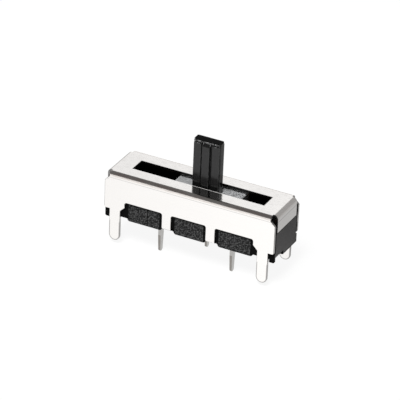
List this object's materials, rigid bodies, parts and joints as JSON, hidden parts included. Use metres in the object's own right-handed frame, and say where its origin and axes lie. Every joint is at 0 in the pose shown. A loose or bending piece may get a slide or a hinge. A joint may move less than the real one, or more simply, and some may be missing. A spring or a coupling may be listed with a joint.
{
  "type": "slide potentiometer",
  "caption": "Straight slide potentiometer with a slotted folded steel cover, moulded base, ribbed lever, mounting legs and blade terminals.",
  "frame": {"origin": "middle of the cover's top face, which lies behind a panel", "axes": "+X along the travel of the lever, +Z out of the top face, +Y across the body"},
  "size_m": [0.026, 0.0076, 0.018],
  "materials": {
    "nickel_steel": "bright nickel plate, smooth",
    "black_moulding": "fine spark-eroded texture",
    "phenolic_board": "smooth brown laminate",
    "carbon_film": "matt printed carbon",
    "silver_film": "satin printed silver",
    "tinned_brass": "bright tin plate",
    "rivet_brass": "plain",
    "lever_moulding": "satin, fine moulded grain",
    "carriage_moulding": "pale grey moulding, satin",
    "phosphor_bronze": "rolled spring strip"
  },
  "bodies": {
    "housing": {"cover": "nickel_steel", "base": "black_moulding", "substrate": "phenolic_board", "resistive_track": "carbon_film", "collector_track": "silver_film", "end_electrode_1": "silver_film", "end_electrode_3": "silver_film", "terminal_1": "tinned_brass", "terminal_2": "tinned_brass", "terminal_3": "tinned_brass", "terminal_rivet_1": "rivet_brass", "terminal_rivet_2": "rivet_brass", "terminal_rivet_3": "rivet_brass"},
    "slider": {"lever": "lever_moulding", "carriage": "carriage_moulding", "wiper": "phosphor_bronze"}
  },
  "joints": [
    {"name": "lever_slide", "type": "slide", "parent": "housing", "child": "slider", "axis": [1, 0, 0], "range_m": [-0.0083, 0.0067]}
  ]
}
